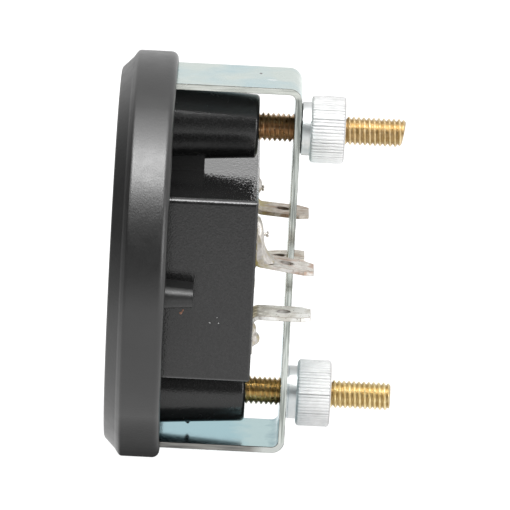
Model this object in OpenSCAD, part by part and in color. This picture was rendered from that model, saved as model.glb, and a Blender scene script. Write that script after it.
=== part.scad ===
// Round digital hour meter, clamped in a panel hole by a U bracket and two thumb nuts.
// Millimetres. The origin is the centre of the bezel's back edge, +Y runs to the rear, +Z is up.

/* [Bezel] */
// Outer diameter of the bezel ring
bezel_d = 57; // [55:0.5:64]
// Depth of the bezel ring from front to back
bezel_depth = 7.8; // [7.2:0.1:10]
// Depth of the bevel along the front edge
bevel_depth = 1.7; // [1:0.1:2.2]
// Width of that bevel across the radius
bevel_width = 1.6; // [1:0.05:2]
// Width of the small step at the rear of the bevel
bevel_step = 0.35; // [0.1:0.05:0.5]
// Depth of the sloped shoulder behind that step
shoulder_depth = 0.6; // [0.3:0.1:1]
// Width of the shoulder across the radius
shoulder_width = 0.65; // [0.2:0.05:0.8]
// Radius of the rounded back edge
back_round = 1; // [0.3:0.1:1]
// Wall of the ring round the housing flange
bezel_wall = 1.15; // [0.9:0.05:1.6]
// Thickness of the front lip that holds the lens
lip_t = 0.9; // [0.6:0.1:1.4]
// Width of the front lip, from the lens seat inwards
lip_width = 1.9; // [1:0.1:3]
// Slope of the lip's inner edge across the radius
lip_slope = 0.6; // [0.2:0.1:0.9]
// Height of the ring's back edge above the housing flange
ring_proud = 0.2; // [0.1:0.05:0.5]

/* [Lens, dial and display] */
// Thickness of the clear lens
lens_t = 1.6; // [1:0.1:2]
// Margin of solid ring between the bevel and the lens seat
lens_margin = 0.35; // [0.2:0.05:0.8]
// Thickness of the dial plate
dial_t = 0.5; // [0.3:0.1:0.7]
// Width of the display window in the dial
window_w = 29; // [24:0.5:30]
// Height of the display window
window_h = 9.6; // [8:0.2:10]
// Corner radius of the display window
window_r = 1; // [0.5:0.1:2]
// Width of the display's front glass
glass_w = 34; // [32:0.5:34.5]
// Height of the display's front glass
glass_h = 16; // [14.5:0.5:17]
// Thickness of each sheet of glass
glass_t = 1.1; // [0.7:0.1:1.2]
// Margin of the front glass beyond the back glass, left and right
glass_step = 1.5; // [1:0.1:2]
// Thickness of the elastomer contact strips
strip_t = 2; // [1.5:0.1:2.2]

/* [Housing] */
// Diameter of the panel hole that the meter fits
panel_hole_d = 52; // [51:0.5:53]
// Thickness of the flange floor behind the display
floor_t = 1.6; // [1.2:0.1:2]
// Width of the rim that carries the dial plate
rim_width = 1.3; // [0.8:0.1:2]
// Width of the rear box
box_w = 40.6; // [40:0.2:43]
// Height of the rear box
box_h = 25.5; // [24.6:0.1:26]
// Height of the rear box's middle above the middle of the meter
box_lift = 0.2; // [0:0.05:0.3]
// Depth of the rear box behind the panel plane
box_depth = 12.05; // [11.2:0.05:13]
// Wall of the rear box
box_wall = 1.3; // [1:0.1:1.5]
// Ledge inside the box that carries the terminal board
ledge = 0.9; // [0.6:0.1:1.2]
// Radius of the long edges of the box
box_round = 0.8; // [0.4:0.1:1]
// Bevel round the rear edge of the box
box_bevel = 0.3; // [0.1:0.1:0.5]
// Side of the square posts in the corners of the box
post = 3.4; // [2.5:0.1:4]
// Diameter of a stud boss at the flange
boss_root_d = 10.4; // [9.8:0.1:11]
// Diameter of a stud boss at its end
boss_end_d = 8.8; // [8.2:0.1:9.4]
// Length of a stud boss behind the panel plane
boss_len = 11.65; // [10.5:0.05:12.5]
// Rounding of the end of a boss
boss_round = 0.6; // [0.3:0.1:0.9]
// Width of the web between boss and box
web_w = 6; // [3:0.2:7]
// Depth of that web behind the panel plane
web_depth = 4.35; // [2:0.05:7]
// Thickness of a centring rib at the flange
rib_root_t = 3.25; // [2.4:0.05:4]
// Thickness of a centring rib at its rear end
rib_end_t = 2.6; // [1.8:0.05:3]
// Depth of a centring rib behind the panel plane
rib_depth = 3.75; // [2:0.05:6]

/* [Studs] */
// Diameter of the threaded studs
stud_d = 4; // [3.5:0.1:4.5]
// Length of stud that stands out behind a nut
stud_free = 8.4; // [6:0.1:12]
// Bevel at the end of a stud
stud_bevel = 0.4; // [0.2:0.1:0.6]
// Diameter of the head moulded into the housing
head_d = 7; // [6:0.1:7.6]
// Thickness of that head
head_t = 2; // [1.5:0.1:2.5]

/* [Clamp bracket] */
// Width of the bracket strip
bracket_w = 14.6; // [12:0.2:16]
// Thickness of the bracket strip
bracket_t = 0.88; // [0.7:0.02:1.2]
// Inside radius of the bends
bend_r = 0.9; // [0.8:0.1:2]
// Space between the boss ends and the back of the bracket
bracket_gap = 4.9; // [4.5:0.1:7]
// Diameter of the clearance holes for the studs
stud_hole_d = 4.6; // [4.6:0.1:5.2]

/* [Thumb nuts] */
// Diameter over the knurl
nut_d = 9.4; // [8.6:0.1:10.5]
// Length of the knurled part
knurl_len = 4.8; // [3:0.1:6]
// Ridges in the knurl
knurl_count = 60; // [40:2:72]
// Depth of the knurl
knurl_depth = 0.18; // [0.1:0.02:0.25]
// Diameter of the plain collar
collar_d = 7.5; // [6.4:0.1:8]
// Length of the collar
collar_len = 1.2; // [0.8:0.1:2]

/* [Terminals] */
// Width of a spade terminal
tab_w = 6.3; // [4.8:0.1:6.4]
// Thickness of a spade terminal
tab_t = 0.6; // [0.5:0.05:0.8]
// Reach of each terminal behind the terminal board: upper left, lower left, upper right, lower right
tab_reach = [7.9, 7.6, 8.5, 8.4]; // [7:0.1:10]
// Width of a terminal at its tip
tab_tip_w = 4.4; // [3.6:0.1:4.6]
// Length of the taper at the tip
tab_taper = 1.4; // [0.8:0.1:2]
// Diameter of the hole in a terminal
tab_hole_d = 1.7; // [1.2:0.1:2.4]
// Distance of that hole from the tip
tab_hole_in = 3.7; // [3:0.1:4.5]
// Inside radius of the bend at a terminal's root
tab_bend_r = 0.7; // [0.5:0.1:1.2]
// Length of the soldered foot
foot_len = 4.2; // [3:0.1:4.6]
// Height of the terminals above and below the middle
tab_level = 3.7; // [3:0.1:4]
// Margin between a terminal and the edge of the terminal board
tab_margin = 0.15; // [0.1:0.05:0.6]
// Bend of each terminal away from its foot: upper left, lower left, upper right, lower right
tab_lean = [4, 5, 8, 0]; // [0:1:10]
// Radius of a solder dome on a foot
solder_r = 1.2; // [0.8:0.1:1.5]
// Height of a solder dome
solder_h = 0.75; // [0.3:0.05:0.9]
// Height of a solder dome above its terminal
solder_up = 3.7; // [3:0.1:4]
// Distance of the upper solder domes from the middle of their feet, towards the meter's middle: left, right
solder_aside = [1.9, 0]; // [0:0.1:1.9]
// Diameter of a trimmed lead end
lead_d = 0.5; // [0.4:0.05:0.7]
// Length of a trimmed lead end above its solder
lead_len = 0.5; // [0.4:0.1:1]

/* [Boards] */
// Thickness of the main board
board_t = 1.2; // [1:0.1:1.6]
// Thickness of the terminal board
terminal_board_t = 1.6; // [1.2:0.1:1.8]
// Depth of the terminal board below the rear edge of the box
board_recess = 0.45; // [0.2:0.05:0.6]
// Space from the flange floor's front to the main board
holder_drop = 2.2; // [2:0.1:2.6]
// Side of the controller chip
controller_w = 7; // [6:0.5:8]
// Height of the chips above their board
chip_h = 1.5; // [1.2:0.1:1.8]
// Height of a chip's body above its board
chip_stand_off = 0.2; // [0.1:0.05:0.3]
// Reach of a chip's leads beyond its body
chip_lead_out = 0.8; // [0.5:0.1:1]
// Leads on each side of the controller chip
controller_leads = 8; // [6:1:10]
// Leads on each side of the memory chip
memory_leads = 4; // [3:1:5]
// Length of the memory chip
memory_l = 5; // [4:0.2:6]
// Width of the memory chip
memory_w = 4; // [3.6:0.1:4.4]
// Diameter of the quartz crystal's can
crystal_d = 3; // [2:0.1:3.4]
// Length of the quartz crystal's can
crystal_l = 8; // [6:0.2:9]
// Diameter of the filter capacitor
capacitor_d = 5; // [4:0.5:6]
// Height of the filter capacitor
capacitor_h = 6.6; // [5:0.2:7]
// Bevel of the filter capacitor's ends
capacitor_bevel = 0.3; // [0.2:0.1:0.5]
// Length of the bridge rectifier
rectifier_l = 6.4; // [5:0.2:7]
// Width of the bridge rectifier
rectifier_w = 5; // [4:0.2:5.4]
// Height of the bridge rectifier
rectifier_h = 2.4; // [1.6:0.1:2.8]
// Pins that join the two boards
pin_count = 6; // [4:1:8]
// Distance between those pins
pin_pitch = 2.54; // [2:0.01:2.54]
// Diameter of a pin
pin_d = 0.64; // [0.5:0.02:0.8]
// Width and height of the header strip
header_w = 2.5; // [2:0.1:2.8]
// Space beside the components on the main board
component_gap = 1; // [0.6:0.1:1.4]

/* [Clearances] */
// Between pieces that are slid together
slip = 0.1; // [0.05:0.01:0.15]
// Between the bezel ring and the flange it is pressed on
press_clear = 0.05; // [0.02:0.01:0.1]
// Between the stud and the thread of a nut, on the radius
thread_clear = 0.05; // [0.03:0.01:0.08]
// Between a nut's collar and the bracket
nut_clear = 0.25; // [0.05:0.05:0.3]
// Between the bracket's legs and the inside of the bezel ring
leg_clear = 0.25; // [0.1:0.05:0.6]
// Between the bracket's legs and the bosses
boss_clear = 0.97; // [0.5:0.01:1.5]
// Between a centring rib and the edge of the panel hole
rib_clear = 0.3; // [0.1:0.05:0.8]

/* [Hidden] */
$fn = 96;
eps = 0.01;
cut_over = 1;

bezel_r = bezel_d / 2;
front_y = -bezel_depth;
lens_y = front_y + lip_t;
dial_y = lens_y + lens_t;
rim_y = dial_y + dial_t;
flange_y = -ring_proud;
floor_y = flange_y - floor_t;

ridge_r = bezel_r - shoulder_width;
ridge_y = front_y + bevel_depth;
front_r = ridge_r - bevel_step - bevel_width;
lens_seat_r = front_r - lens_margin;
lens_r = lens_seat_r - slip;
opening_r = lens_seat_r - lip_width;
ring_bore_r = bezel_r - bezel_wall;
flange_r = ring_bore_r - press_clear;
pocket_r = lens_seat_r - rim_width;

leg_outer_z = sqrt(pow(ring_bore_r - leg_clear, 2) - pow(bracket_w / 2, 2));
leg_inner_z = leg_outer_z - bracket_t;
stud_z = leg_inner_z - boss_clear - boss_root_d / 2;
back_inner_y = boss_len + bracket_gap;
back_outer_y = back_inner_y + bracket_t;
nut_y = back_outer_y + nut_clear;
nut_end_y = nut_y + collar_len + knurl_len;
stud_end_y = nut_end_y + stud_free;
stud_bore_r = stud_d / 2 + press_clear;
head_y = floor_y;
head_seat_y = head_y + head_t;

cavity_w = box_w - 2 * box_wall - 2 * ledge;
cavity_h = box_h - 2 * box_wall - 2 * ledge;
recess_w = box_w - 2 * box_wall;
recess_h = box_h - 2 * box_wall;
wall_z = recess_h / 2;
board_y = floor_y + holder_drop;
board_back_y = board_y + board_t;
terminal_back_y = box_depth - board_recess;
terminal_front_y = terminal_back_y - terminal_board_t;
insert_w = cavity_w - 2 * slip;
insert_h = cavity_h - 2 * slip;

glass_back_y = rim_y + glass_t;
strip_space = strip_t + 2 * slip;
back_glass_w = glass_w - 2 * glass_step;
holder_open_h = glass_h - 2 * slip;
back_glass_h = holder_open_h - 2 * strip_space;
strip_z = back_glass_h / 2 + strip_space / 2;
strip_l = back_glass_w;

tab_x = recess_w / 2 - slip - tab_margin - tab_w / 2;
foot_z = tab_t / 2 + tab_bend_r;

header_z = -insert_h / 2 + header_w / 2 + component_gap;
pin_span = (pin_count - 1) * pin_pitch;
header_l = pin_span + header_w;

// Turns a shape drawn along +Z so that it runs along +Y.
module along_y() {
    rotate([-90, 0, 0]) children();
}

// A flat outline of Y across and Z up, given a width along X and centred on X.
module across_x(width) {
    rotate([90, 0, 90]) translate([0, 0, -width / 2]) linear_extrude(width) children();
}

module rounded_rect(w, h, r) {
    square([w - 2 * r, h], center = true);
    square([w, h - 2 * r], center = true);
    for (sx = [-1, 1], sy = [-1, 1])
        translate([sx * (w / 2 - r), sy * (h / 2 - r)]) circle(r);
}

// A block of w by h from y0 to y1 with its long edges rounded.
module rounded_block(w, h, r, y0, y1) {
    translate([0, y0, 0]) along_y() linear_extrude(y1 - y0) rounded_rect(w, h, r);
}

// A plain block of w by h from y0 to y1, centred on x and z.
module block(w, h, y0, y1, x = 0, z = 0) {
    translate([x - w / 2, y0, z - h / 2]) cube([w, y1 - y0, h]);
}

module disc(r, y0, y1) {
    translate([0, y0, 0]) along_y() cylinder(r = r, h = y1 - y0);
}

module bezel_ring() {
    color("dimgray") along_y() rotate_extrude() {
        polygon([
            [opening_r + lip_slope, front_y],
            [front_r, front_y],
            [ridge_r - bevel_step, ridge_y],
            [ridge_r, ridge_y],
            [bezel_r, ridge_y + shoulder_depth],
            [bezel_r, -back_round],
            [bezel_r - back_round, 0],
            [ring_bore_r, 0],
            [ring_bore_r, rim_y],
            [lens_seat_r, rim_y],
            [lens_seat_r, lens_y],
            [opening_r, lens_y]
        ]);
        intersection() {
            translate([bezel_r - back_round, -back_round]) circle(back_round);
            translate([ring_bore_r, -bezel_depth]) square([bezel_wall, bezel_depth]);
        }
    }
}

module lens() {
    color("lightcyan", 0.4) disc(lens_r, lens_y, dial_y);
}

module dial_plate() {
    color("black") difference() {
        disc(lens_r, dial_y, rim_y);
        rounded_block(window_w, window_h, window_r, dial_y - eps, rim_y + eps);
    }
}

// Front glass with a smaller back glass, so that its contact edges face the strips.
module display_glass() {
    color("darkseagreen") {
        block(glass_w, glass_h, rim_y, glass_back_y);
        block(back_glass_w, back_glass_h, glass_back_y - eps, glass_back_y + glass_t);
    }
}

module display_holder() {
    color("whitesmoke") difference() {
        rounded_block(insert_w, insert_h, box_round, rim_y, board_y);
        block(glass_w + 2 * slip, glass_h + 2 * slip, rim_y - eps, glass_back_y);
        block(back_glass_w + 2 * slip, holder_open_h, rim_y, board_y + eps);
    }
}

module contact_strip(level) {
    color("dimgray") block(strip_l, strip_t, glass_back_y, board_y, z = level * strip_z);
}

module contact_strip_upper() {
    contact_strip(1);
}

module contact_strip_lower() {
    contact_strip(-1);
}

module main_board() {
    color("seagreen") rounded_block(insert_w, insert_h, box_round, board_y, board_back_y);
}

// A chip body on its leads, with the leads in two rows along X.
module chip(l, w, lead_count) {
    lead_w = l / (2 * lead_count);
    block(l, w, chip_stand_off, chip_h);
    for (i = [0 : lead_count - 1])
        block(lead_w, w + 2 * chip_lead_out, 0, chip_stand_off + eps,
            x = (i + 0.5) * l / lead_count - l / 2);
}

module controller_chip() {
    color("black") translate([0, board_back_y, insert_h / 2 - controller_w / 2 - post / 2])
        chip(controller_w, controller_w, controller_leads);
}

module memory_chip() {
    color("black") translate([controller_w / 2 + memory_l, board_back_y, memory_w / 2])
        chip(memory_l, memory_w, memory_leads);
}

module quartz_crystal() {
    color("silver")
        translate([-controller_w / 2 - component_gap - crystal_l, board_back_y + crystal_d / 2, crystal_d])
            rotate([0, 90, 0]) cylinder(d = crystal_d, h = crystal_l);
}

module filter_capacitor() {
    color("navy") translate([-insert_w / 2 + post + capacitor_d / 2, board_back_y, -capacitor_d / 2])
        along_y() rotate_extrude() polygon([
            [0, 0],
            [capacitor_d / 2 - capacitor_bevel, 0],
            [capacitor_d / 2, capacitor_bevel],
            [capacitor_d / 2, capacitor_h - capacitor_bevel],
            [capacitor_d / 2 - capacitor_bevel, capacitor_h],
            [0, capacitor_h]
        ]);
}

module bridge_rectifier() {
    color("black") block(rectifier_l, rectifier_w, terminal_front_y - rectifier_h, terminal_front_y,
        x = insert_w / 2 - post - rectifier_l / 2);
}

module at_pins() {
    for (i = [0 : pin_count - 1])
        translate([i * pin_pitch - pin_span / 2, 0, header_z]) children();
}

module link_header() {
    color("black") difference() {
        block(header_l, header_w, board_back_y, board_back_y + header_w, z = header_z);
        at_pins() disc(pin_d / 2 + press_clear, board_back_y - eps, board_back_y + header_w + eps);
    }
}

module link_pins() {
    color("gold") at_pins() disc(pin_d / 2, board_back_y, terminal_front_y);
}

// Tapered boss round a stud, with a rounded end.
module boss() {
    root_r = boss_root_d / 2;
    end_r = boss_end_d / 2;
    taper = (root_r - end_r) / boss_len;
    shoulder_r = end_r + taper * boss_round;
    along_y() rotate_extrude() {
        polygon([
            [0, flange_y - eps],
            [root_r, flange_y - eps],
            [shoulder_r, boss_len - boss_round],
            [shoulder_r - boss_round, boss_len],
            [0, boss_len]
        ]);
        translate([shoulder_r - boss_round, boss_len - boss_round]) circle(boss_round);
    }
}

// Rear box with a bevel round its rear edge.
module box_body() {
    long = box_depth - flange_y + eps;
    translate([0, 0, box_lift]) intersection() {
        rounded_block(box_w, box_h, box_round, flange_y - eps, box_depth);
        across_x(box_w + 2 * cut_over) polygon([
            [box_depth - long, -box_h / 2 - eps],
            [box_depth - box_bevel, -box_h / 2 - eps],
            [box_depth, -box_h / 2 + box_bevel],
            [box_depth, box_h / 2 - box_bevel],
            [box_depth - box_bevel, box_h / 2 + eps],
            [box_depth - long, box_h / 2 + eps]
        ]);
        translate([0, 0, -box_h / 2 - cut_over]) linear_extrude(box_h + 2 * cut_over) polygon([
            [-box_w / 2 - eps, box_depth - long],
            [-box_w / 2 - eps, box_depth - box_bevel],
            [-box_w / 2 + box_bevel, box_depth],
            [box_w / 2 - box_bevel, box_depth],
            [box_w / 2 + eps, box_depth - box_bevel],
            [box_w / 2 + eps, box_depth - long]
        ]);
    }
}

// Both centring ribs as one bar across the box, tapered to the rear, with full round ends.
module ribs() {
    nose_x = panel_hole_d / 2 - rib_clear - rib_root_t / 2;
    root_y = flange_y - eps;
    across_x(2 * nose_x) polygon([
        [root_y, -rib_root_t / 2],
        [rib_depth, -rib_end_t / 2],
        [rib_depth, rib_end_t / 2],
        [root_y, rib_root_t / 2]
    ]);
    for (side = [-1, 1]) translate([side * nose_x, root_y, 0])
        along_y() cylinder(d1 = rib_root_t, d2 = rib_end_t, h = rib_depth - root_y);
}

// Hollow of the box: round the boards, between the corner posts, with a ledge for the terminal board.
module box_hollow() {
    difference() {
        rounded_block(cavity_w, cavity_h, box_round, floor_y - eps, box_depth);
        for (sx = [-1, 1], sz = [-1, 1])
            block(post, post, board_back_y, terminal_front_y,
                x = sx * (cavity_w - post) / 2, z = sz * (cavity_h - post) / 2);
    }
    rounded_block(recess_w, recess_h, box_round, terminal_front_y, box_depth + eps);
}

module at_studs() {
    for (level = [-1, 1]) translate([0, 0, level * stud_z]) children();
}

module housing() {
    color([0.16, 0.16, 0.17]) difference() {
        union() {
            disc(flange_r, rim_y, flange_y);
            box_body();
            at_studs() boss();
            for (level = [-1, 1])
                block(web_w, stud_z - wall_z, flange_y - eps, web_depth, z = level * (stud_z + wall_z) / 2);
            ribs();
        }
        disc(pocket_r, rim_y - eps, floor_y);
        box_hollow();
        at_studs() {
            disc(stud_bore_r, floor_y - eps, boss_len + eps);
            disc(head_d / 2 + press_clear, floor_y - eps, head_seat_y);
        }
    }
}

module terminal_board() {
    w = recess_w - 2 * slip;
    h = recess_h - 2 * slip;
    color("tan") rounded_block(w, h, box_round, terminal_front_y, terminal_back_y);
}

// Side view of the space behind a terminal's outer face or, inset by its thickness, its inner face.
module tab_space(inset, lean, room) {
    r = tab_t + tab_bend_r - inset;
    translate([tab_t + tab_bend_r, foot_z]) {
        circle(r);
        translate([-r, 0]) square([r + room, room]);
        rotate(-lean) translate([0, -r]) square([room, r + room]);
    }
}

// Spade terminal on a foot that runs upwards from it, its blade leaning away from the foot.
module tab(reach, lean) {
    room = reach + foot_len;
    difference() {
        intersection() {
            across_x(tab_w) difference() {
                tab_space(0, lean, room);
                tab_space(tab_t, lean, room + cut_over);
            }
            translate([0, 0, -room]) linear_extrude(room + foot_z + foot_len) polygon([
                [-tab_w / 2 - eps, -cut_over],
                [tab_w / 2 + eps, -cut_over],
                [tab_w / 2 + eps, reach - tab_taper],
                [tab_tip_w / 2, reach],
                [-tab_tip_w / 2, reach],
                [-tab_w / 2 - eps, reach - tab_taper]
            ]);
        }
        translate([0, reach - tab_hole_in, -room]) cylinder(d = tab_hole_d, h = room + foot_z);
    }
}

// Places a tab or its solder at its corner of the terminal board, with the foot away from the middle.
module at_tab(side, level) {
    translate([side * tab_x, terminal_back_y, level * tab_level])
        mirror([0, 0, level < 0 ? 1 : 0]) children();
}

module tab_upper_left() {
    color("silver") at_tab(-1, 1) tab(tab_reach[0], tab_lean[0]);
}

module tab_lower_left() {
    color("silver") at_tab(-1, -1) tab(tab_reach[1], tab_lean[1]);
}

module tab_upper_right() {
    color("silver") at_tab(1, 1) tab(tab_reach[2], tab_lean[2]);
}

module tab_lower_right() {
    color("silver") at_tab(1, -1) tab(tab_reach[3], tab_lean[3]);
}

// Solder dome on a foot, with or without a trimmed lead end standing out of it.
module solder(aside, lead) {
    dome_r = (pow(solder_r, 2) + pow(solder_h, 2)) / (2 * solder_h);
    translate([aside, tab_t, solder_up]) {
        intersection() {
            translate([0, solder_h - dome_r, 0]) sphere(dome_r);
            disc(2 * solder_r, 0, 2 * solder_h);
        }
        if (lead) disc(lead_d / 2, solder_h / 2, solder_h + lead_len);
    }
}

module solder_joints() {
    color("gainsboro") {
        at_tab(-1, 1) solder(solder_aside[0], true);
        at_tab(1, 1) solder(-solder_aside[1], true);
        for (side = [-1, 1]) at_tab(side, -1) solder(0, false);
    }
}

module stud() {
    stud_r = stud_d / 2;
    color("goldenrod") along_y() rotate_extrude() polygon([
        [0, head_y],
        [head_d / 2, head_y],
        [head_d / 2, head_seat_y],
        [stud_r, head_seat_y],
        [stud_r, stud_end_y - stud_bevel],
        [stud_r - stud_bevel, stud_end_y],
        [0, stud_end_y]
    ]);
}

module stud_upper() {
    translate([0, 0, stud_z]) stud();
}

module stud_lower() {
    translate([0, 0, -stud_z]) stud();
}

// Outside or inside of the bracket: from y0 straight back to y1, z up and down, with rounded rear corners.
module bracket_outline(y0, y1, z, r) {
    translate([y0, -z]) square([y1 - r - y0, 2 * z]);
    translate([y0, r - z]) square([y1 - y0, 2 * (z - r)]);
    for (level = [-1, 1]) translate([y1 - r, level * (z - r)]) circle(r);
}

module clamp_bracket() {
    color("lightsteelblue") difference() {
        across_x(bracket_w) bracket_outline(flange_y, back_outer_y, leg_outer_z, bend_r + bracket_t);
        across_x(bracket_w + 2 * cut_over)
            bracket_outline(flange_y - cut_over, back_inner_y, leg_inner_z, bend_r);
        at_studs() disc(stud_hole_d / 2, back_inner_y - eps, back_outer_y + eps);
    }
}

// Thumb nut with its collar towards the bracket and a straight knurl.
module thumb_nut() {
    knurl_y = nut_y + collar_len;
    color("silver") difference() {
        union() {
            disc(collar_d / 2, nut_y, knurl_y + eps);
            translate([0, knurl_y, 0]) along_y() linear_extrude(knurl_len) polygon([
                for (i = [0 : 2 * knurl_count - 1])
                    let (r = nut_d / 2 - (i % 2) * knurl_depth, a = 180 * i / knurl_count)
                        [r * cos(a), r * sin(a)]
            ]);
        }
        disc(stud_d / 2 + thread_clear, nut_y - eps, nut_end_y + eps);
    }
}

module thumb_nut_upper() {
    translate([0, 0, stud_z]) thumb_nut();
}

module thumb_nut_lower() {
    translate([0, 0, -stud_z]) thumb_nut();
}

bezel_ring();
lens();
dial_plate();
display_glass();
display_holder();
contact_strip_upper();
contact_strip_lower();
main_board();
controller_chip();
memory_chip();
quartz_crystal();
filter_capacitor();
bridge_rectifier();
link_header();
link_pins();
housing();
terminal_board();
tab_upper_left();
tab_lower_left();
tab_upper_right();
tab_lower_right();
solder_joints();
stud_upper();
stud_lower();
clamp_bracket();
thumb_nut_upper();
thumb_nut_lower();
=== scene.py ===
"""Looks of a round digital hour meter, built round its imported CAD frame."""
import math
import random

import bmesh
import bpy
from mathutils import Matrix, Vector


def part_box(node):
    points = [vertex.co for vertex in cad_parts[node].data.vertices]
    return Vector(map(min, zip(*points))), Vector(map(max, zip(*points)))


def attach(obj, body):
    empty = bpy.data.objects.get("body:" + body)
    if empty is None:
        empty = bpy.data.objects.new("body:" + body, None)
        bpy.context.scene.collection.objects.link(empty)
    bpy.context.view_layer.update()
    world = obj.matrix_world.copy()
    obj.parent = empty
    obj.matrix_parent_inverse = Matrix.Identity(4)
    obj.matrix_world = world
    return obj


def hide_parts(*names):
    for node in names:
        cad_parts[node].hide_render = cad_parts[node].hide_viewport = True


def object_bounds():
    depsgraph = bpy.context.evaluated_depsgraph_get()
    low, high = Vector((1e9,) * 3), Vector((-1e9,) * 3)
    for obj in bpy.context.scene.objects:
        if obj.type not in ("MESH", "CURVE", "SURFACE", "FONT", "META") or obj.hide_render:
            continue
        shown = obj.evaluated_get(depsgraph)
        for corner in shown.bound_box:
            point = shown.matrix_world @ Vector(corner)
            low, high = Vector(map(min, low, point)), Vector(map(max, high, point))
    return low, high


MM = 0.001
# Steps round a turned piece.
ROUND = 288

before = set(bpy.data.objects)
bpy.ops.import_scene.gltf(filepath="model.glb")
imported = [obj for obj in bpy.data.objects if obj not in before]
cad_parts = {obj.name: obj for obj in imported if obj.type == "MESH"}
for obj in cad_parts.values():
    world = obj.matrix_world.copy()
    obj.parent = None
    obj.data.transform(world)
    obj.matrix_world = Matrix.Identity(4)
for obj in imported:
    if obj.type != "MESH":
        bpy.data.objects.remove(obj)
cad_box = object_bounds()


def box_mm(node):
    """Lowest and highest corner of a CAD node, in millimetres."""
    lo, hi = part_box(node)
    return lo / MM, hi / MM


bezel_lo, bezel_hi = box_mm("bezel_ring")
bracket_lo, bracket_hi = box_mm("clamp_bracket")
stud_lo, stud_hi = box_mm("stud_upper")
nut_lo, nut_hi = box_mm("thumb_nut_upper")
lens_y = box_mm("lens")[0].y
dial_back_y = box_mm("dial_plate")[1].y
housing_back_y = box_mm("housing")[1].y
board_back_y = box_mm("terminal_board")[1].y
STUD_Z = (stud_lo.z + stud_hi.z) / 2

# Sizes inside the boxes above, as in the CAD model.
BEVEL_WIDTH = 1.6
BEVEL_DEPTH = 1.7
BEVEL_STEP = 0.35
SHOULDER_WIDTH = 0.65
SHOULDER_DEPTH = 0.6
BACK_ROUND = 1.0
BEZEL_WALL = 1.15
LENS_MARGIN = 0.35
LIP_WIDTH = 1.9
LIP_SLOPE = 0.6
STUD_R = 2.0
STUD_BEVEL = 0.4
HEAD_T = 2.0
PITCH = 0.7
COLLAR_R = 3.75
COLLAR_LEN = 1.2
RIDGES = 60
NUT_BORE_R = 2.05
TAB_T = 0.6
TAB_HOLE_IN = 3.7
TAB_LEVEL = 3.7
SOLDER_R = 1.2
SOLDER_H = 0.75
SOLDER_UP = 3.7
SOLDER_ASIDE = 1.9
BOX_HALF_W = 20.3
WEB_HALF_W = 3.0
WEB_DEPTH = 4.35
BOSS_ROOT_R = 5.2
BOSS_END_R = 4.4

# Just past the top and the bottom of the box, where the webs and the bosses begin.
PAST_BOX = 13.0
# Height above and below the middle within which a side rib lies.
RIB_REACH = 2.0
# Rounding of edges that are sharp in the CAD model.
HOUSING_ROUND = 0.45
BRACKET_ROUND = 0.13
TAB_ROUND = 0.06


# Meshes

def filleted(corners, steps=5):
    """A closed outline of (u, v, radius) corners, each rounded to its radius."""
    points = []
    for i, (u, v, radius) in enumerate(corners):
        here = Vector((u, v))
        if not radius:
            points.append(here)
            continue
        before = (Vector(corners[i - 1][:2]) - here).normalized()
        after = (Vector(corners[(i + 1) % len(corners)][:2]) - here).normalized()
        half = before.angle(after) / 2
        centre = here + (before + after).normalized() * radius / math.sin(half)
        start = (here + before * radius / math.tan(half) - centre).normalized()
        end = (here + after * radius / math.tan(half) - centre).normalized()
        for k in range(steps + 1):
            points.append(centre + start.slerp(end, k / steps).normalized() * radius)
    return [tuple(p) for p in points]


def skin(rings, loop=False):
    """Vertices and faces of rings of points, each joined to the next. The last ring joins the first in a
    loop, and otherwise both ends are closed."""
    count = len(rings[0])
    verts = [tuple(p) for ring in rings for p in ring]
    faces = []
    for i in range(len(rings) if loop else len(rings) - 1):
        j = (i + 1) % len(rings)
        for k in range(count):
            m = (k + 1) % count
            faces.append((i * count + k, i * count + m, j * count + m, j * count + k))
    if not loop:
        last = (len(rings) - 1) * count
        faces += [tuple(range(count)), tuple(range(last, last + count))]
    return verts, faces


def turned(rows, count=ROUND, x=0.0, z=0.0, bored=False):
    """Rows of (radius, y) turned about a line along Y. Both may be functions of the step round it."""
    def ring(radius, y):
        points = []
        for k in range(count):
            a = 2 * math.pi * k / count
            r = radius(k) if callable(radius) else radius
            points.append((x + r * math.sin(a), y(k) if callable(y) else y, z + r * math.cos(a)))
        return points
    return skin([ring(radius, y) for radius, y in rows], bored)


def tube(points, radii, sides=12):
    """A bent round bar through points, with a radius at each of them."""
    points = [Vector(p) for p in points]
    rings = []
    for i, (point, radius) in enumerate(zip(points, radii)):
        ahead = (points[min(i + 1, len(points) - 1)] - points[max(i - 1, 0)]).normalized()
        turn = ahead.to_track_quat("Y", "Z")
        angles = [2 * math.pi * k / sides for k in range(sides)]
        rings.append([point + turn @ Vector((radius * math.sin(a), 0, radius * math.cos(a))) for a in angles])
    return skin(rings)


def smooth(mesh, sharp_deg):
    mesh.shade_smooth()
    mesh.set_sharp_from_angle(angle=math.radians(sharp_deg))


def dress(obj, body, material, nodes):
    """Gives a new piece its finish, its body and the CAD nodes that it stands for."""
    bpy.context.scene.collection.objects.link(obj)
    obj.data.materials.clear()
    obj.data.materials.append(material)
    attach(obj, body)
    if nodes:
        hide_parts(*nodes)
    return obj


def keep_flats(obj):
    """Shades the large faces flat, so that the turn of a rounded edge stays on the edge."""
    flats = obj.modifiers.new("flats", "WEIGHTED_NORMAL")
    flats.keep_sharp = True
    flats.weight = 100
    return obj


def piece(name, shapes, body, material, nodes=(), sharp_deg=35):
    """One object of several (vertices, faces) shapes in millimetres."""
    mesh = bpy.data.meshes.new(name)
    bm = bmesh.new()
    for verts, faces in shapes:
        made = [bm.verts.new(Vector(v) * MM) for v in verts]
        for face in faces:
            bm.faces.new([made[i] for i in face])
    bmesh.ops.recalc_face_normals(bm, faces=bm.faces)
    bm.to_mesh(mesh)
    bm.free()
    smooth(mesh, sharp_deg)
    return dress(bpy.data.objects.new(name, mesh), body, material, nodes)


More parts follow.
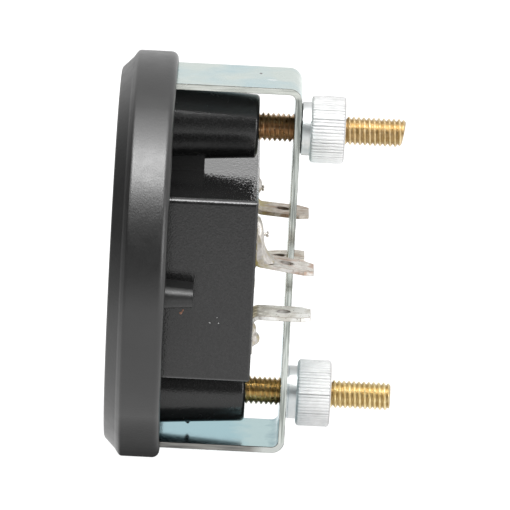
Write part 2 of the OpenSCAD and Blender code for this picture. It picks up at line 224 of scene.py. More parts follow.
def softened(node, width, body, material, spared=None, sharp_deg=35, edge_deg=28, steps=2):
    """A copy of a CAD node with its outer edges rounded, which stands for the node. The rounded faces carry
    the attribute "worn", and so do faces where spared() picks the place, whose edges stay sharp."""
    same_point, same_plane_deg = 1e-7, 0.3
    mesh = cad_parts[node].data.copy()
    bm = bmesh.new()
    bm.from_mesh(mesh)
    bmesh.ops.remove_doubles(bm, verts=bm.verts, dist=same_point)
    bmesh.ops.dissolve_limit(bm, angle_limit=math.radians(same_plane_deg), verts=bm.verts, edges=bm.edges)
    layer = bm.faces.layers.float.new("worn")
    edges = []
    for edge in bm.edges:
        if len(edge.link_faces) != 2 or not edge.is_convex or edge.calc_face_angle() < math.radians(edge_deg):
            continue
        middle = (edge.verts[0].co + edge.verts[1].co) / 2 / MM
        if not (spared and spared(middle)):
            edges.append(edge)
    rounded = bmesh.ops.bevel(bm, geom=edges, offset=width * MM, segments=steps, profile=0.5, affect="EDGES",
                              clamp_overlap=True)
    for face in rounded["faces"]:
        face[layer] = 1.0
    for face in bm.faces:
        if spared and spared(face.calc_center_median() / MM):
            face[layer] = 1.0
    bmesh.ops.triangulate(bm, faces=[f for f in bm.faces if len(f.verts) > 4])
    for face in bm.faces:
        face.smooth = True
    for edge in bm.edges:
        border = len({face[layer] for face in edge.link_faces}) > 1
        edge.smooth = not border and edge.calc_face_angle(0) < math.radians(sharp_deg)
    bm.to_mesh(mesh)
    bm.free()
    obj = bpy.data.objects.new(node + "_soft", mesh)
    return keep_flats(dress(obj, body, material, [node]))


# Shader nodes

def add(tree, kind, inputs=None, **settings):
    """A new shader node. An input is a number, a colour or another node's output."""
    node = tree.nodes.new(kind)
    for key, value in settings.items():
        setattr(node, key, value)
    for key, value in (inputs or {}).items():
        if isinstance(value, bpy.types.NodeSocket):
            tree.links.new(value, node.inputs[key])
        else:
            node.inputs[key].default_value = value
    return node


def principled(name, **sockets):
    """A material with its Principled shader's constants set. Returns (material, tree, shader)."""
    material = bpy.data.materials.new(name)
    material.use_nodes = True
    tree = material.node_tree
    shader = tree.nodes["Principled BSDF"]
    for key, value in sockets.items():
        shader.inputs[key.replace("_", " ")].default_value = value
    return material, tree, shader


def place(tree, stretch=(1, 1, 1)):
    """Coordinates on the piece in millimetres, divided by stretch."""
    coords = add(tree, "ShaderNodeTexCoord").outputs["Object"]
    scale = [1 / (MM * s) for s in stretch]
    return add(tree, "ShaderNodeVectorMath", {0: coords, 1: scale}, operation="MULTIPLY").outputs["Vector"]


def noise(tree, size, detail=3.0, stretch=(1, 1, 1)):
    """Noise with features of that size in millimetres."""
    inputs = {"Vector": place(tree, stretch), "Scale": 1 / size, "Detail": detail}
    return add(tree, "ShaderNodeTexNoise", inputs).outputs["Fac"]


def ramp(tree, value, low, high, low_value=0.0, high_value=1.0):
    """Maps value from low..high to low_value..high_value, held at the ends."""
    inputs = {"Value": value, "From Min": low, "From Max": high, "To Min": low_value, "To Max": high_value}
    return add(tree, "ShaderNodeMapRange", inputs, clamp=True).outputs["Result"]


def fall(tree, value, low, high):
    """1 where value is below low, falling to 0 at high."""
    return ramp(tree, value, low, high, 1.0, 0.0)


def patchy(tree, size, detail=3.0, low=0.35, high=0.65):
    """0 and 1 in patches of that size in millimetres, with soft borders between low and high noise."""
    return ramp(tree, noise(tree, size, detail), low, high)


def uneven(tree, size, low_value, high_value):
    """A value that wanders between two others over that size in millimetres."""
    noise_low, noise_high = 0.3, 0.7
    return ramp(tree, noise(tree, size), noise_low, noise_high, low_value, high_value)


def mixed(tree, factor, one, two):
    """Colour one where factor is 0 and colour two where it is 1."""
    node = add(tree, "ShaderNodeMix", data_type="RGBA")
    # Several of a Mix node's sockets share a name, so its colour sockets go by number.
    for socket, value in ((node.inputs[0], factor), (node.inputs[6], one), (node.inputs[7], two)):
        if isinstance(value, bpy.types.NodeSocket):
            tree.links.new(value, socket)
        else:
            socket.default_value = value
    return node.outputs[2]


def maths(tree, operation, one, two=0.0):
    return add(tree, "ShaderNodeMath", {0: one, 1: two}, operation=operation).outputs[0]


def product(tree, one, two):
    return maths(tree, "MULTIPLY", one, two)


def total(tree, one, two):
    return maths(tree, "ADD", one, two)


def unsigned(tree, value):
    return maths(tree, "ABSOLUTE", value)


def along(tree, axis):
    """The place along an axis in millimetres."""
    return add(tree, "ShaderNodeSeparateXYZ", {0: place(tree)}).outputs[axis]


def off_axis(tree):
    """The distance from the nearer stud's axis in millimetres."""
    up = maths(tree, "SUBTRACT", unsigned(tree, along(tree, "Z")), STUD_Z)
    aside = along(tree, "X")
    return maths(tree, "SQRT", total(tree, product(tree, up, up), product(tree, aside, aside)))


def worn(tree):
    """1 on the rounded edges of a softened piece."""
    return add(tree, "ShaderNodeAttribute", attribute_name="worn").outputs["Fac"]


def spot(tree, centre, radius, stretch=(1, 1, 1)):
    """1 within a spot round a point in millimetres, and 0 outside it."""
    solid_share = 0.6
    there = [c / s for c, s in zip(centre, stretch)]
    inputs = {0: place(tree, stretch), 1: there}
    away = add(tree, "ShaderNodeVectorMath", inputs, operation="DISTANCE").outputs["Value"]
    return fall(tree, away, solid_share * radius, radius)


def bump(tree, shader, height, depth):
    """Bump of that depth in millimetres."""
    node = add(tree, "ShaderNodeBump", {"Height": height, "Distance": depth * MM})
    tree.links.new(node.outputs[0], shader.inputs["Normal"])


def set_input(tree, shader, key, value):
    tree.links.new(value, shader.inputs[key])


def grey(value):
    return (value, value, value, 1)


# Materials

def mottled(name, one, two, size, rough, grain, depth, **sockets):
    """A plain finish: two close colours in patches, uneven gloss and a fine grain."""
    material, tree, shader = principled(name, **sockets)
    set_input(tree, shader, "Base Color", mixed(tree, patchy(tree, size), one, two))
    set_input(tree, shader, "Roughness", uneven(tree, size / 3, *rough))
    bump(tree, shader, noise(tree, grain, 2.0), depth)
    return material


def bezel_paint():
    """Satin black paint, made dull and grey at the bottom of the band behind the bevel: painted shade, in
    place of the shadowed floor that it would reflect there.
    """
    black, soft_black, dull_grey = grey(0.008), grey(0.0105), grey(0.036)
    dull_low, dull_high = bezel_lo.z + 2.0, bezel_lo.z + 11.0
    band_y = bezel_lo.y + BEVEL_DEPTH + SHOULDER_DEPTH
    shine, fading = 0.7, 4.0
    material, tree, shader = principled("bezel_paint")
    paint = mixed(tree, patchy(tree, 5.0), black, soft_black)
    on_band = ramp(tree, along(tree, "Y"), band_y - 0.6, band_y + 0.2)
    # Painted shade: towards the bottom of the band the paint turns grey and loses its gloss, in place of the
    # shadowed floor that it would reflect.
    dull = product(tree, fall(tree, along(tree, "Z"), dull_low, dull_high), on_band)
    gloss = maths(tree, "POWER", maths(tree, "SUBTRACT", 1.0, dull), fading)
    set_input(tree, shader, "Base Color", mixed(tree, dull, paint, dull_grey))
    set_input(tree, shader, "Roughness", uneven(tree, 1.7, 0.31, 0.37))
    set_input(tree, shader, "Specular IOR Level", product(tree, gloss, shine))
    bump(tree, shader, noise(tree, 0.32), 0.016)
    return material


def housing_plastic():
    """Black moulding with a fine grain in its colour and its gloss. The top and the bottom of the box are
    glossier and pebbled, most of all at the rear. The top of the upper boss is painted a lighter grey, a
    painted reflection of the bracket's leg above it."""
    black, soft_black, reflection_grey = grey(0.008), grey(0.015), grey(0.04)
    glossy, boss_duller, wall_duller, edge_rough = (0.05, 0.11), 0.17, 0.07, 0.38
    wall_from, wall_to = BOX_HALF_W - 1.0, BOX_HALF_W - 0.6
    front_pebbles, rear_pebbles = 0.8, 3.6
    material, tree, shader = principled("housing_plastic")
    height, side = along(tree, "Z"), unsigned(tree, along(tree, "X"))
    away = unsigned(tree, height)
    plastic = mixed(tree, patchy(tree, 0.3, 2.0), black, soft_black)
    # Painted reflection: the top of the upper boss turns lighter grey, standing in for the bracket's leg
    # reflected there.
    dust_and_reflection = ramp(tree, height, STUD_Z + 1.5, STUD_Z + BOSS_END_R)
    set_input(tree, shader, "Base Color", mixed(tree, dust_and_reflection, plastic, reflection_grey))
    on_boss = ramp(tree, away, PAST_BOX, PAST_BOX + 0.5, 0.0, boss_duller)
    on_wall = ramp(tree, side, wall_from, wall_to, 0.0, wall_duller)
    rough = total(tree, total(tree, on_boss, uneven(tree, 1.0, *glossy)), on_wall)
    on_edge = product(tree, worn(tree), edge_rough)
    set_input(tree, shader, "Roughness", maths(tree, "MAXIMUM", rough, on_edge))
    on_top = product(tree, fall(tree, side, wall_from, wall_to), fall(tree, away, PAST_BOX, PAST_BOX + 0.2))
    coarse = product(tree, on_top, ramp(tree, along(tree, "Y"), 4.0, 11.0, front_pebbles, rear_pebbles))
    pebbles = product(tree, noise(tree, 0.32, 1.0, (2.8, 1, 1)), coarse)
    bump(tree, shader, total(tree, noise(tree, 0.25, 2.0, (5, 1, 1)), pebbles), 0.02)
    return material


def zinc_plate(tree, height, depth, lower_leg):
    """Colour of the bracket's faces: pale blue patches, bluer below, a tint along the lower leg that turns
    dark at the bend, painted shade in the inside corner there, and a pit and a scratch on the upper leg."""
    pale, blue = (0.54, 0.62, 0.58, 1), (0.34, 0.53, 0.59, 1)
    leg_front, leg_rear = (0.233, 0.444, 0.496, 1), (0.348, 0.512, 0.521, 1)
    bend_shade = (0.195, 0.342, 0.377, 1)
    front_to_rear, rear_to_bend = (9.5, 12.5), (14.8, 16.6)
    pit, scratch = (-2.2, 11.6, bracket_hi.z), (1.8, 13.2, bracket_hi.z)
    patches = ramp(tree, noise(tree, 7.0, 2.0), 0.42, 0.7, 0.0, 0.75)
    below = ramp(tree, height, -20, 0, 0.85, 0.0)
    plate = mixed(tree, maths(tree, "MAXIMUM", patches, below), pale, blue)
    wander = total(tree, depth, uneven(tree, 2.0, -1.0, 1.0))
    leg = mixed(tree, ramp(tree, wander, *front_to_rear), leg_front, leg_rear)
    # Painted shade: the lower leg's tint turns dark into the inside corner of the bend.
    leg = mixed(tree, ramp(tree, wander, *rear_to_bend), leg, bend_shade)
    plate = mixed(tree, lower_leg, plate, leg)
    plate = mixed(tree, spot(tree, pit, 0.24, (2.5, 1, 1)), plate, grey(0.03))
    return mixed(tree, spot(tree, scratch, 0.14, (1.6, 6, 1)), plate, grey(1.0))


def zinc_strips(tree, height, depth):
    """Colour of the bracket's sheared strips: light on the upper leg, grey on the lower leg, paler near its
    bend, and streaked on the back."""
    back_pale, back_dark = (0.56, 0.59, 0.56, 1), (0.26, 0.28, 0.26, 1)
    upper_pale, upper_dark = (0.88, 0.91, 0.85, 1), (0.62, 0.65, 0.6, 1)
    lower_pale, lower_dark = (0.25, 0.245, 0.23, 1), (0.11, 0.11, 0.105, 1)
    bend_pale = (0.5, 0.52, 0.5, 1)
    streak_up = ramp(tree, noise(tree, 0.35, 2.0, (1, 1, 16)), 0.4, 0.6)
    streak_back = ramp(tree, noise(tree, 0.35, 2.0, (1, 16, 1)), 0.4, 0.65)
    on_back = mixed(tree, streak_up, back_pale, back_dark)
    on_upper = mixed(tree, streak_back, upper_pale, upper_dark)
    near_bend = ramp(tree, depth, bracket_hi.y - 4.8, bracket_hi.y - 2.9)
    on_lower = mixed(tree, near_bend, mixed(tree, streak_back, lower_pale, lower_dark), bend_pale)
    on_legs = mixed(tree, ramp(tree, height, -1, 1), on_lower, on_upper)
    upright = fall(tree, unsigned(tree, height), bracket_hi.z - 1.6, bracket_hi.z - 1.2)
    return mixed(tree, upright, on_legs, on_back)


def zinc():
    """Zinc plate with sheared strips between dark broken borders, shinier on the lower leg."""
    border_dark, border_pale = (0.03, 0.03, 0.028, 1), (0.36, 0.38, 0.36, 1)
    least_rough, most_rough, shiny_share = 0.2, 0.28, 0.6
    material, tree, shader = principled("zinc", Metallic=1.0)
    height, depth, side = along(tree, "Z"), along(tree, "Y"), unsigned(tree, along(tree, "X"))
    lower_leg = fall(tree, height, bracket_lo.z + 1.2, bracket_lo.z + 2.6)
    plate = zinc_plate(tree, height, depth, lower_leg)
    on_strip = ramp(tree, side, bracket_hi.x - 0.16, bracket_hi.x - 0.04)
    finish = mixed(tree, on_strip, plate, zinc_strips(tree, height, depth))
    inner_lower = product(tree, ramp(tree, height, bracket_lo.z + 0.4, bracket_lo.z + 0.6),
                          fall(tree, height, bracket_lo.z + 1.0, bracket_lo.z + 1.8))
    nicked = maths(tree, "SUBTRACT", patchy(tree, 0.9, low=0.36, high=0.56), inner_lower)
    border = mixed(tree, nicked, border_dark, border_pale)
    set_input(tree, shader, "Base Color", mixed(tree, worn(tree), finish, border))
    shiny = product(tree, lower_leg, fall(tree, side, bracket_hi.x - 0.4, bracket_hi.x - 0.2))
    rough = uneven(tree, 1.5, least_rough, most_rough)
    rough = product(tree, rough, ramp(tree, shiny, 0, 1, 1.0, shiny_share))
    set_input(tree, shader, "Roughness", rough)
    bump(tree, shader, noise(tree, 0.4), 0.002)
    return material


def brass(name, lit_tarnish, bright):
    """Brass with dirt in the thread, tarnished on the stretch between the boss and the bracket, where the
    tarnish is painted lighter than the clean brass: painted light against the shade that falls there. Each
    finish is a pair of close colours."""
    dirt = (0.22, 0.13, 0.05, 1)
    material, tree, shader = principled(name, Metallic=1.0)
    patches = patchy(tree, 0.9)
    bright_share = ramp(tree, along(tree, "Y"), bracket_hi.y - 0.6, bracket_hi.y + 0.4)
    # Painted light: the tarnish colours are lighter than the clean brass, against the shade between the boss
    # and the bracket.
    metal = mixed(tree, bright_share, mixed(tree, patches, *lit_tarnish), mixed(tree, patches, *bright))
    groove = ramp(tree, off_axis(tree), STUD_R - 0.34, STUD_R - 0.1, 0.5, 0.0)
    set_input(tree, shader, "Base Color", mixed(tree, groove, metal, dirt))
    rough = total(tree, uneven(tree, 0.8, 0.26, 0.34), product(tree, bright_share, 0.12))
    set_input(tree, shader, "Roughness", rough)
    bump(tree, shader, noise(tree, 0.3), 0.001)
    return material


def nut_metal(name, upper_side, under_side):
    """Bright metal: a smooth grey collar, and a dull knurl with dirt in its grooves. The knurl's grey is set
    by the direction each face points, painted shade and painted light: the two values tell how light it is
    painted on its upper side and its under side. The upper nut's seat is painted dark, a painted shadow in
    the gap against the bracket."""
    collar, shaded_grey, bright, dirt, dark = (0.62, 0.63, 0.63, 1), grey(0.5), grey(0.96), grey(0.1), grey(0.02)
    around, collar_rough, knurl_rough = 0.65, 0.34, 0.78
    faces_up, faces_down = (0.45, 0.75), (-0.45, -0.1)
    material, tree, shader = principled(name, Metallic=1.0)
    depth = along(tree, "Y")
    knurl_y = nut_lo.y + COLLAR_LEN
    normal = add(tree, "ShaderNodeTexCoord").outputs["Normal"]
    up = add(tree, "ShaderNodeSeparateXYZ", {0: normal}).outputs["Z"]
    # Painted shade and painted light: the knurl's grey follows the direction each face points.
    bright_share = total(tree, ramp(tree, up, *faces_up, around, upper_side),
                  ramp(tree, up, *faces_down, under_side - around, 0.0))
    bright_share = total(tree, bright_share, ramp(tree, noise(tree, 1.5), 0.35, 0.65, -0.06, 0.06))
    groove = ramp(tree, off_axis(tree), nut_hi.x - 0.17, nut_hi.x - 0.06, 0.32, 0.0)
    inside = product(tree, ramp(tree, depth, knurl_y + 0.02, knurl_y + 0.06),
                     fall(tree, depth, nut_hi.y - 0.06, nut_hi.y - 0.02))
    knurl = mixed(tree, product(tree, groove, inside), mixed(tree, bright_share, shaded_grey, bright), dirt)
    on_knurl = ramp(tree, depth, knurl_y - 0.05, knurl_y + 0.02)
    metal = mixed(tree, on_knurl, collar, knurl)
    # Painted shadow: the upper nut's seat is dark, in the gap against the bracket.
    upper = ramp(tree, along(tree, "Z"), -1, 1)
    seat_shadow = product(tree, fall(tree, depth, nut_lo.y - 0.03, nut_lo.y), upper)
    set_input(tree, shader, "Base Color", mixed(tree, seat_shadow, metal, dark))
    rough = ramp(tree, on_knurl, 0.0, 1.0, collar_rough, knurl_rough)
    set_input(tree, shader, "Roughness", total(tree, rough, uneven(tree, 0.5, 0.0, 0.08)))
    bump(tree, shader, noise(tree, 0.4), 0.001)
    return material


def tin(corner, dark, light, stain, root_stain, ring):
    """Dull tin plate of one terminal: stains, another stain at the root, dark specks, dull cut edges and a
    dark ring round the hole, which is as strong as ring says."""
    speck, cut_edge, ring_dark = (0.14, 0.1, 0.07, 1), (0.33, 0.3, 0.26, 1), (0.06, 0.04, 0.03, 1)
    ring_r, through = 1.25, (1, 1, 100)
    lo, hi = box_mm("tab_" + corner)
    hole = ((lo.x + hi.x) / 2, hi.y - TAB_HOLE_IN, 0)
    material, tree, shader = principled("tin_" + corner, Metallic=1.0)
    plate = mixed(tree, patchy(tree, 1.0), dark, light)
    plate = mixed(tree, ramp(tree, noise(tree, 1.3, 2.0, (1, 2, 1)), 0.5, 0.64), plate, stain)
    root = fall(tree, along(tree, "Y"), board_back_y + 0.8, board_back_y + 3.0)
    root = product(tree, root, patchy(tree, 0.9, low=0.4, high=0.55))
    plate = mixed(tree, root, plate, root_stain)
    plate = mixed(tree, patchy(tree, 0.35, 4.0, 0.64, 0.7), plate, speck)
    plate = mixed(tree, worn(tree), plate, cut_edge)
    round_hole = product(tree, spot(tree, hole, ring_r, through), ring)
    set_input(tree, shader, "Base Color", mixed(tree, round_hole, plate, ring_dark))
    set_input(tree, shader, "Roughness", uneven(tree, 0.6, 0.45, 0.6))
    bump(tree, shader, noise(tree, 0.3, 4.0), 0.01)
    return material


def solder_metal():
    """Dull solder with yellow flux left on it."""
    dark, light, flux = (0.42, 0.39, 0.36, 1), (0.63, 0.61, 0.58, 1), (0.47, 0.42, 0.31, 1)
    material, tree, shader = principled("solder_metal", Metallic=1.0)
    metal = mixed(tree, patchy(tree, 0.5), dark, light)
    on_flux = patchy(tree, 1.1, 2.0, 0.52, 0.62)
    set_input(tree, shader, "Base Color", mixed(tree, on_flux, metal, flux))
    set_input(tree, shader, "Roughness", uneven(tree, 0.4, 0.42, 0.58))
    bump(tree, shader, noise(tree, 0.25), 0.015)
    return material


def clear_lens():
    material, tree, shader = principled("clear_lens", Transmission_Weight=1.0, IOR=1.49)
    set_input(tree, shader, "Roughness", uneven(tree, 6.0, 0.0, 0.03))
    return material


def laminate():
    """Pale glass-fibre laminate with its weave."""
    dark, light = (0.5, 0.43, 0.26, 1), (0.58, 0.52, 0.36, 1)
    squares_per_mm = 2.5
    material, tree, shader = principled("laminate", IOR=1.5)
    inputs = {"Vector": place(tree), "Scale": squares_per_mm}
    weave = add(tree, "ShaderNodeTexChecker", inputs).outputs["Fac"]
    patches = product(tree, weave, uneven(tree, 1.5, 0.0, 1.0))
    set_input(tree, shader, "Base Color", mixed(tree, patches, dark, light))
    set_input(tree, shader, "Roughness", uneven(tree, 0.8, 0.35, 0.5))
    bump(tree, shader, weave, 0.004)
    return material


HOUSING = housing_plastic()
FLUX = (0.36, 0.3, 0.12, 1)
ROOT_GREY = (0.38, 0.37, 0.35, 1)
TINS = {
    "upper_left": tin("upper_left", dark=(0.33, 0.29, 0.24, 1), light=(0.5, 0.46, 0.41, 1),
                      stain=(0.28, 0.2, 0.14, 1), root_stain=FLUX, ring=1),
    "lower_left": tin("lower_left", dark=(0.52, 0.48, 0.42, 1), light=(0.7, 0.67, 0.6, 1),
                      stain=(0.42, 0.34, 0.26, 1), root_stain=FLUX, ring=1),
    "upper_right": tin("upper_right", dark=(0.52, 0.49, 0.45, 1), light=(0.7, 0.68, 0.65, 1),
                       stain=(0.46, 0.34, 0.27, 1), root_stain=FLUX, ring=0.6),
    "lower_right": tin("lower_right", dark=(0.74, 0.74, 0.71, 1), light=(0.9, 0.9, 0.88, 1),
                       stain=(0.64, 0.62, 0.57, 1), root_stain=ROOT_GREY, ring=0.6)}
# Each stud's tarnish is painted lighter by its own amount.
BRASS_UPPER = brass("brass_upper", lit_tarnish=((0.7, 0.49, 0.32, 1), (0.9, 0.67, 0.46, 1)),
                    bright=((0.63, 0.49, 0.27, 1), (0.8, 0.66, 0.42, 1)))
BRASS_LOWER = brass("brass_lower", lit_tarnish=((0.78, 0.6, 0.32, 1), (0.95, 0.78, 0.46, 1)),
                    bright=((0.72, 0.58, 0.31, 1), (0.87, 0.76, 0.48, 1)))
# The two nuts are lit and shaded copies of one finish: their painted light and shade differ with where each
# sits.
NUT_UPPER = nut_metal("nut_metal_upper", upper_side=0.15, under_side=0.92)
NUT_LOWER = nut_metal("nut_metal_lower", upper_side=0.34, under_side=0.45)


# Pieces that stand for CAD nodes

def bezel():
    """The ring, turned from its outline: lip, bevel, small step, shoulder, band and rounded back edge."""
    r = bezel_hi.x
    ridge, ridge_y = r - SHOULDER_WIDTH, bezel_lo.y + BEVEL_DEPTH
    front = ridge - BEVEL_STEP - BEVEL_WIDTH
    lens_seat = front - LENS_MARGIN
    opening = lens_seat - LIP_WIDTH
    bore = r - BEZEL_WALL
    front_round, step_round, ridge_round, shoulder_round = 0.8, 0.05, 0.1, 0.6
    lip_round, inner_round = 0.15, 0.1
    step_slope = 0.11
    outline = filleted([
        (opening, lens_y, inner_round), (opening + LIP_SLOPE, bezel_lo.y, lip_round),
        (front, bezel_lo.y, front_round), (ridge - BEVEL_STEP, ridge_y - step_slope, step_round),
        (ridge, ridge_y + step_slope, ridge_round), (r, ridge_y + SHOULDER_DEPTH, shoulder_round),
        (r, bezel_hi.y, BACK_ROUND), (bore, bezel_hi.y, inner_round),
        (bore, dial_back_y, 0), (lens_seat, dial_back_y, 0), (lens_seat, lens_y, 0)])
    shape = turned(outline, bored=True)
    return keep_flats(piece("bezel", [shape], "meter", bezel_paint(), ["bezel_ring"]))


def threaded_stud(name, node, z, slant, material):
    """A stud with its moulded-in head and a right-hand thread from the housing to its end, which is cut back
    by slant at the bottom."""
    per_turn, per_pitch = 48, 8
    depth, steepness, crest = 0.4, 1.25, 0.1
    inside, sliver, head_edge = 2.0, 0.01, 0.2
    end, start = stud_hi.y, housing_back_y - inside
    head_r = (stud_hi.z - stud_lo.z) / 2

    def end_at(k):
        return end - slant * (1 - math.cos(2 * math.pi * k / per_turn)) / 2

    def thread(y, k):
        phase = (y / PITCH - k / per_turn) % 1
        flank = min(1.0, max(0.0, abs(phase - 0.5) / 0.5 * steepness - crest))
        return min(STUD_R - depth * flank, STUD_R - STUD_BEVEL + (end_at(k) - y))

    def row(share):
        def y(k):
            return start + (end_at(k) - start) * share
        return lambda k: thread(y(k), k), y

    steps = round((end - start) / PITCH * per_pitch)
    rows = [(head_r - head_edge, stud_lo.y), (head_r, stud_lo.y + head_edge), (head_r, stud_lo.y + HEAD_T),
            (STUD_R, stud_lo.y + HEAD_T), (STUD_R, start - sliver)]
    rows += [row(i / steps) for i in range(steps + 1)]
    return piece(name, [turned(rows, per_turn, z=z)], "meter", material, [node], sharp_deg=50)


def thumb_nut(name, node, z, seat_r, body, seed, metal):
    """A nut with a plain collar that ends in a low seat against the bracket, and a straight knurl of flat
    ridges between narrow grooves that vary."""
    per_ridge, depth = 8, 0.18
    edge, half_edge, half_drop, front_drop, rear_drop = 0.35, 0.12, 0.2, 0.45, 0.5
    seat_gap, collar_edge, bore_edge = 0.02, 0.05, 0.3
    r = nut_hi.x
    knurl_y = nut_lo.y + COLLAR_LEN
    seat_y = bracket_hi.y + seat_gap
    pick = random.Random(seed)
    cut = [depth * pick.uniform(0.3, 1.1) for _ in range(RIDGES)]

    def knurl(inset):
        def radius(k):
            groove = 0.5 + 0.5 * math.cos(2 * math.pi * (k % per_ridge) / per_ridge)
            return min(r - inset, r - cut[k // per_ridge] * groove ** 3)
        return radius

    rows = [(NUT_BORE_R, seat_y), (seat_r, seat_y), (seat_r, nut_lo.y), (COLLAR_R - collar_edge, nut_lo.y),
            (COLLAR_R, nut_lo.y + collar_edge), (COLLAR_R, knurl_y),
            (knurl(front_drop), knurl_y), (knurl(half_drop), knurl_y + half_edge),
            (knurl(0), knurl_y + edge), (knurl(0), nut_hi.y - edge),
            (knurl(half_drop), nut_hi.y - half_edge), (knurl(rear_drop), nut_hi.y),
            (NUT_BORE_R + bore_edge, nut_hi.y), (NUT_BORE_R, nut_hi.y - bore_edge)]
    shape = turned(rows, RIDGES * per_ridge, z=z, bored=True)
    return piece(name, [shape], body, metal, [node], sharp_deg=40)


def solder_dome(x, y, z, height):
    """A low dome of solder with a concave foot."""
    sides = 24
    shape = [(0.08, 1.0), (0.35, 0.93), (0.6, 0.7), (0.78, 0.38), (0.9, 0.14), (1.0, 0.0)]
    rows = [(SOLDER_R * r, y + height * h) for r, h in shape]
    return turned(rows, sides, x, z)


def lead_end(x, y, z):
    """A trimmed wire that stands out of the solder and ends in a small bent-over cap."""
    stem = tube([(x, y, z), (x, y + 0.3, z), (x, y + 0.65, z), (x, y + 0.95, z)], [0.34, 0.24, 0.2, 0.22])
    cap = [(x, y + 0.81, z - 0.4), (x, y + 0.91, z - 0.18), (x, y + 0.93, z + 0.12), (x, y + 0.85, z + 0.4)]
    return [stem, tube(cap, [0.12, 0.19, 0.19, 0.12])]


def solder_fillet(x, y, z):
    """Solder that fills the corner between a foot and its blade, thinner towards both sides."""
    outline = [(0, 0), (2.5, 0.3), (1.9, 0.75), (1.45, 1.3), (1.1, 2.0), (0.9, 2.8), (0.82, 4.2), (0.6, 5.2),
               (0.25, 6.1), (-0.45, 6.6), (-0.6, 5.0)]
    rings = []
    for across, share in ((-2.9, 0.45), (-2.4, 0.8), (-1.2, 0.95), (1.2, 1.0), (2.5, 0.95), (3.0, 0.7)):
        rings.append([(x + across, y + share * v, z + share * w) for v, w in outline])
    return skin(rings)


def solder():
    """The joints on the four feet, two with a lead end, and a heavy one on the upper right foot. Each joint
    has its side of the middle, its distance aside and its height as a share of the CAD height."""
    joints = (("upper_left", 1, SOLDER_ASIDE, 0.6), ("upper_right", 1, 0, 1.0),
              ("lower_left", -1, 0, 0.2), ("lower_right", -1, 0, 1.3))
    left_sunk, left_drop, right_raise = 0.3, 0.35, 0.45
    second_up, second_share = 0.7, 0.6
    shapes = []
    foot_y = board_back_y + TAB_T
    for corner, level, aside, height in joints:
        lo, hi = box_mm("tab_" + corner)
        x = (lo.x + hi.x) / 2 + aside
        shapes.append(solder_dome(x, foot_y, level * (TAB_LEVEL + SOLDER_UP), height * SOLDER_H))
        if corner == "upper_left":
            shapes += lead_end(x, foot_y - left_sunk, TAB_LEVEL + SOLDER_UP - left_drop)
        if corner == "upper_right":
            shapes += lead_end(x, foot_y + right_raise, TAB_LEVEL + SOLDER_UP)
            shapes.append(solder_fillet(x, foot_y, TAB_LEVEL))
        if corner == "lower_right":
            z = -TAB_LEVEL - second_up * SOLDER_UP
            shapes.append(solder_dome(x, foot_y, z, second_share * SOLDER_H))
    return piece("solder", shapes, "meter", solder_metal(), ["solder_joints"])


def at_web_or_rib(at):
    """Whether a place is on a web between boss and box, or on a rib at the side of the box."""
    beside, behind, off_wall = 0.1, 0.25, 0.01
    web = abs(at.x) < WEB_HALF_W + beside and at.y < WEB_DEPTH + behind and PAST_BOX < abs(at.z) < STUD_Z
    rib = abs(at.x) > BOX_HALF_W + off_wall and abs(at.z) < RIB_REACH
    return web or rib


bezel()
softened("housing", HOUSING_ROUND, "meter", HOUSING, at_web_or_rib, steps=3)
softened("clamp_bracket", BRACKET_ROUND, "bracket", zinc())
threaded_stud("stud_upper_threaded", "stud_upper", STUD_Z, slant=0.5, material=BRASS_UPPER)
threaded_stud("stud_lower_threaded", "stud_lower", -STUD_Z, slant=0, material=BRASS_LOWER)
thumb_nut("nut_upper_knurled", "thumb_nut_upper", STUD_Z, seat_r=COLLAR_R - 0.25, body="upper_nut", seed=3,
          metal=NUT_UPPER)
thumb_nut("nut_lower_knurled", "thumb_nut_lower", -STUD_Z, seat_r=COLLAR_R - 0.05, body="lower_nut", seed=8,
          metal=NUT_LOWER)
for corner, plate in TINS.items():
    softened("tab_" + corner, TAB_ROUND, "meter", plate)
solder()


# Small things on the surfaces

def display_digits():
    """Dark segments on the display: five figures, a point and a tenth, all at nought."""
    high, wide, bar, gap, slant = 6.4, 3.3, 0.62, 0.12, 0.08
    pitch, depth, count, point_half = 4.5, 0.03, 6, 0.35
    half = high / 2
    layers = (dial_back_y - depth, dial_back_y)

    def segment(x, z0, z1, x0, x1):
        """A bar with pointed ends, from (x0, z0) to (x1, z1) in its figure at x."""
        start, end = Vector((x0, z0)), Vector((x1, z1))
        ahead = (end - start).normalized()
        aside = Vector((-ahead.y, ahead.x)) * bar / 2
        start, end = start + ahead * gap, end - ahead * gap
        inset = ahead * bar / 2
        flat = [start, start + inset + aside, end - inset + aside,
                end, end - inset - aside, start + inset - aside]
        return skin([[(x + p.x + slant * p.y, y, p.y) for p in flat] for y in layers])

    shapes = []
    left, right = -(wide - bar) / 2, (wide - bar) / 2
    top, low = half - bar / 2, -half + bar / 2
    for i in range(count):
        x = (i - (count - 1) / 2) * pitch
        shapes += [segment(x, top, top, left, right), segment(x, low, low, left, right)]
        for side in (left, right):
            shapes += [segment(x, 0, top, side, side), segment(x, low, 0, side, side)]
    point_x = (count - 2 - (count - 1) / 2) * pitch + pitch / 2 + slant * low
    corners = [(u * point_half, v * point_half) for u, v in ((-1, -1), (1, -1), (1, 1), (-1, 1))]
    shapes.append(skin([[(point_x + u, y, low + v) for u, v in corners] for y in layers]))
    ink = mottled("segment_dark", grey(0.012), grey(0.02), 2.0, (0.35, 0.5), 0.3, 0.001)
    return piece("display_digits", shapes, "meter", ink)


